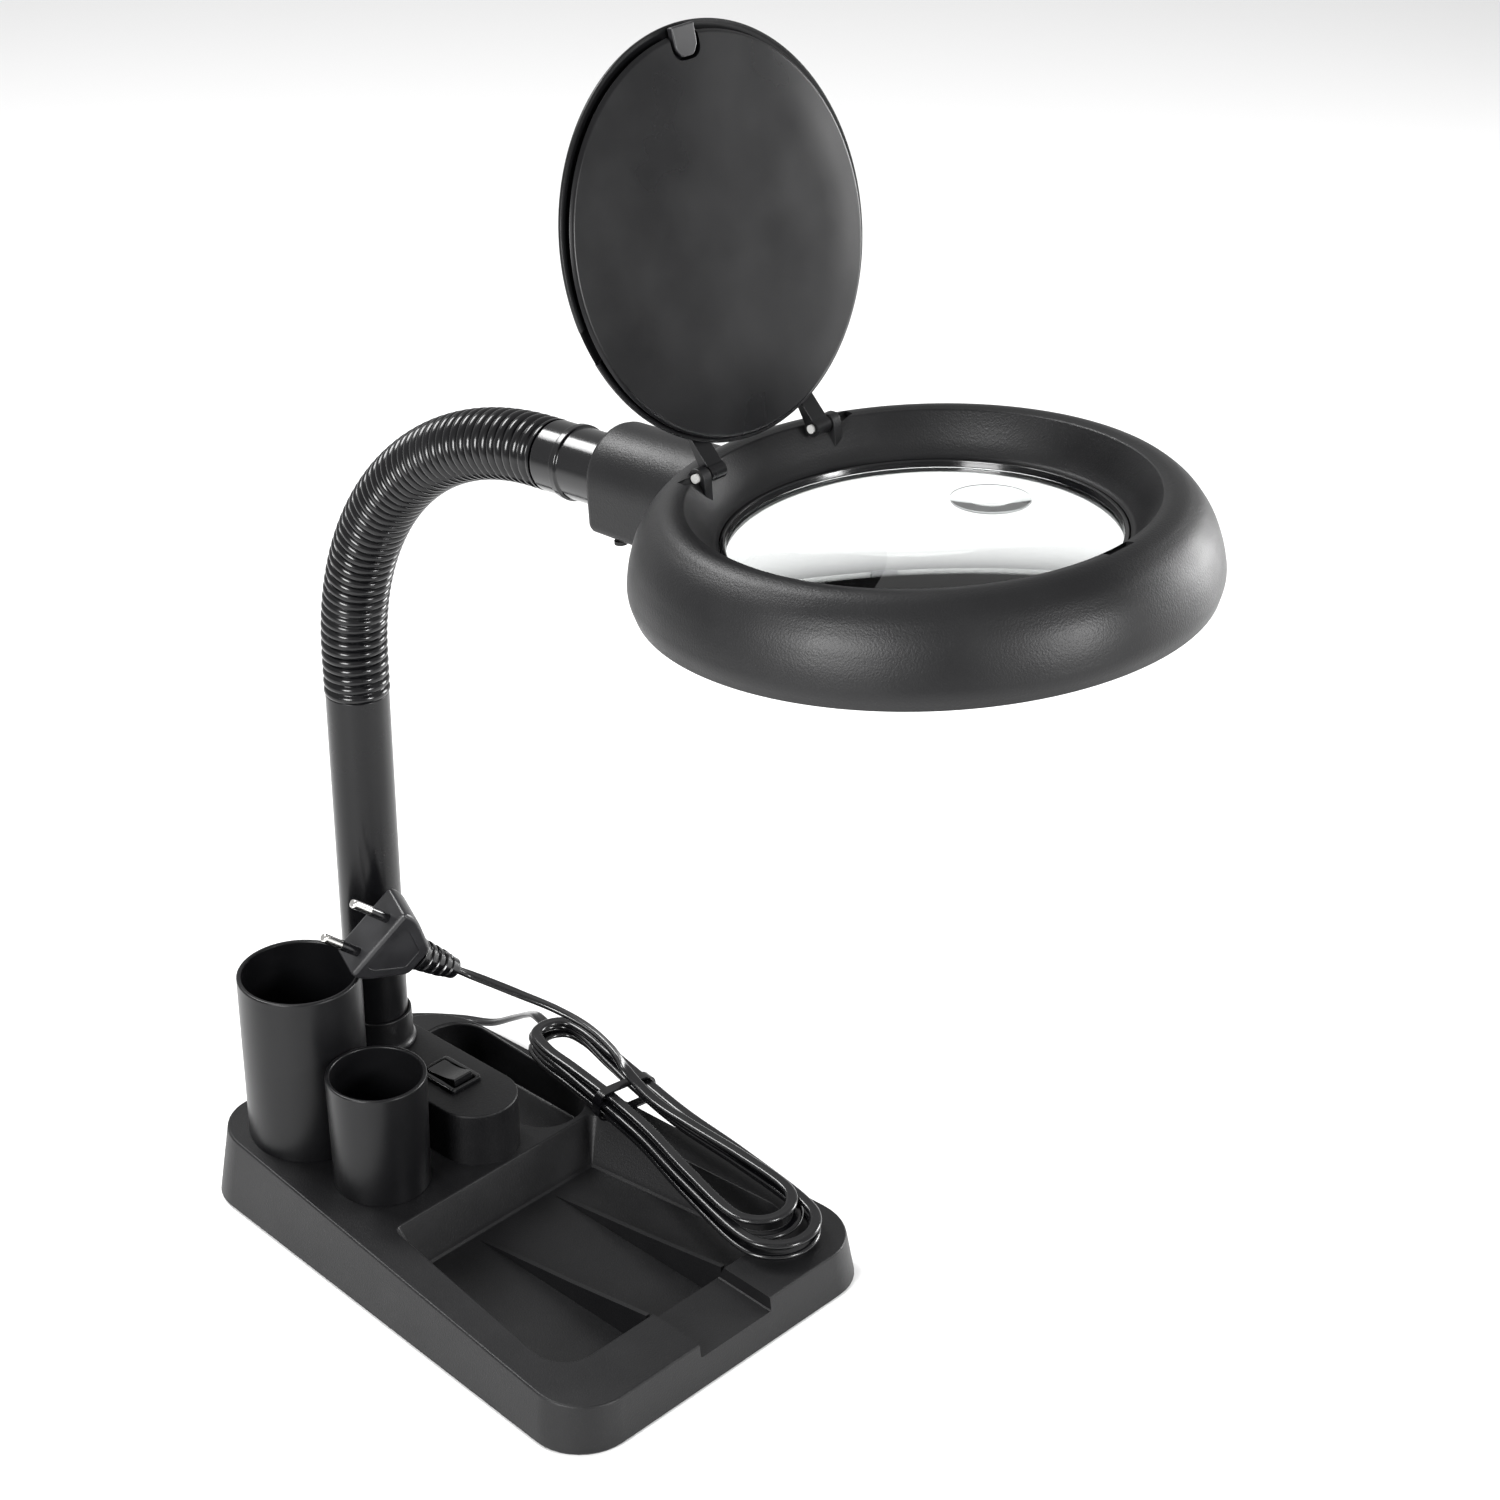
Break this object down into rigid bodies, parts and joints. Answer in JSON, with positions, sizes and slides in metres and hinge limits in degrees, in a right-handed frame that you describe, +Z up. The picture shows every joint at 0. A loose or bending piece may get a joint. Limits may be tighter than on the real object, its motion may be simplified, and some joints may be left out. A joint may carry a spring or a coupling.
{
  "type": "magnifying lamp",
  "caption": "Desk magnifying lamp on a wedge base with parts tray and cups, bendable ribbed neck, ring light round a lens, hinged lens lid and a tied mains lead.",
  "frame": {"origin": "middle of the base's underside, on the surface the lamp stands on", "axes": "+X to the user's right, +Y to the back where the stem stands, +Z up"},
  "size_m": [0.1892, 0.4482, 0.5137],
  "materials": {
    "moulded_black": "fine matt texture",
    "lid_black": "satin",
    "switch_black": "polished",
    "hose_black": "glossy ribbed",
    "cord_black": "glossy flexible sheath",
    "plug_black": "satin",
    "pin_nickel": "polished nickel plate",
    "screw_steel": "zinc plated",
    "weight_iron": "plain",
    "foot_rubber": "soft foam",
    "tube_white": "satin white",
    "board_green": "lacquered",
    "lens_glass": "clear polished"
  },
  "bodies": {
    "base": {"base_shell": "moulded_black", "tall_cup": "moulded_black", "short_cup": "moulded_black", "stem_socket": "moulded_black", "stem_tube": "moulded_black", "bottom_plate": "weight_iron", "ballast_weight": "weight_iron", "base_pad": "foot_rubber", "base_screw_1": "screw_steel", "base_screw_2": "screw_steel", "base_screw_3": "screw_steel", "base_screw_4": "screw_steel", "stem_nut": "screw_steel", "switch_frame": "switch_black", "hose_end_lower": "hose_black", "lamp_choke_board": "board_green", "lamp_choke_capacitor": "switch_black", "lamp_choke_coil": "weight_iron", "cord_gland": "cord_black", "cord_lead": "cord_black", "cord_hank": "cord_black", "cord_tie": "cord_black", "cord_tail": "cord_black", "plug_body": "plug_black", "plug_relief": "plug_black", "plug_pin_1": "pin_nickel", "plug_pin_2": "pin_nickel"},
    "neck_1": {"hose_piece_1": "hose_black"},
    "neck_2": {"hose_piece_2": "hose_black"},
    "neck_3": {"hose_piece_3": "hose_black"},
    "neck_4": {"hose_piece_4": "hose_black"},
    "neck_5": {"hose_piece_5": "hose_black"},
    "neck_6": {"hose_piece_6": "hose_black"},
    "head": {"hose_end_upper": "hose_black", "head_shell": "moulded_black", "main_lens": "lens_glass", "reading_lens": "lens_glass", "lens_retainer": "switch_black", "tube_reflector": "tube_white", "ring_tube": "tube_white", "tube_plug": "tube_white", "tube_clip_1": "screw_steel", "tube_clip_2": "screw_steel", "tube_clip_3": "screw_steel", "neck_screw_1": "screw_steel", "neck_screw_2": "screw_steel", "hinge_pin_1": "screw_steel", "hinge_pin_2": "screw_steel"},
    "lid": {"lid_shell": "lid_black", "lid_panel": "lid_black", "lid_catch": "lid_black"},
    "rocker": {"switch_rocker": "switch_black"}
  },
  "joints": [
    {"name": "neck_bend_1", "type": "hinge", "parent": "base", "child": "neck_1", "pos_m": [0.0085, 0.09, 0.216], "axis": [1, 0, 0], "range_deg": [-12, 12]},
    {"name": "neck_swing_2", "type": "hinge", "parent": "neck_1", "child": "neck_2", "pos_m": [0.0085, 0.08853, 0.24756], "axis": [0, 0.9876, 0.1573], "range_deg": [-12, 12]},
    {"name": "neck_bend_3", "type": "hinge", "parent": "neck_2", "child": "neck_3", "pos_m": [0.0085, 0.07945, 0.27776], "axis": [1, 0, 0], "range_deg": [-12, 12]},
    {"name": "neck_swing_4", "type": "hinge", "parent": "neck_3", "child": "neck_4", "pos_m": [0.0085, 0.0627, 0.30448], "axis": [0, 0.7686, 0.6397], "range_deg": [-12, 12]},
    {"name": "neck_bend_5", "type": "hinge", "parent": "neck_4", "child": "neck_5", "pos_m": [0.0085, 0.03946, 0.32581], "axis": [1, 0, 0], "range_deg": [-12, 12]},
    {"name": "neck_swing_6", "type": "hinge", "parent": "neck_5", "child": "neck_6", "pos_m": [0.0085, 0.01141, 0.34022], "axis": [0, 0.334, 0.9426], "range_deg": [-12, 12]},
    {"name": "neck_bend_7", "type": "hinge", "parent": "neck_6", "child": "head", "pos_m": [0.0085, -0.01946, 0.34669], "axis": [1, 0, 0], "range_deg": [-12, 12]},
    {"name": "lid_hinge", "type": "hinge", "parent": "head", "child": "lid", "pos_m": [0.0085, -0.12712, 0.38017], "axis": [1, 0, 0], "range_deg": [-8, 101]},
    {"name": "rocker_press", "type": "hinge", "parent": "base", "child": "rocker", "pos_m": [0.009, 0.0473, 0.0524], "axis": [1, 0, 0], "range_deg": [0, 16]}
  ]
}
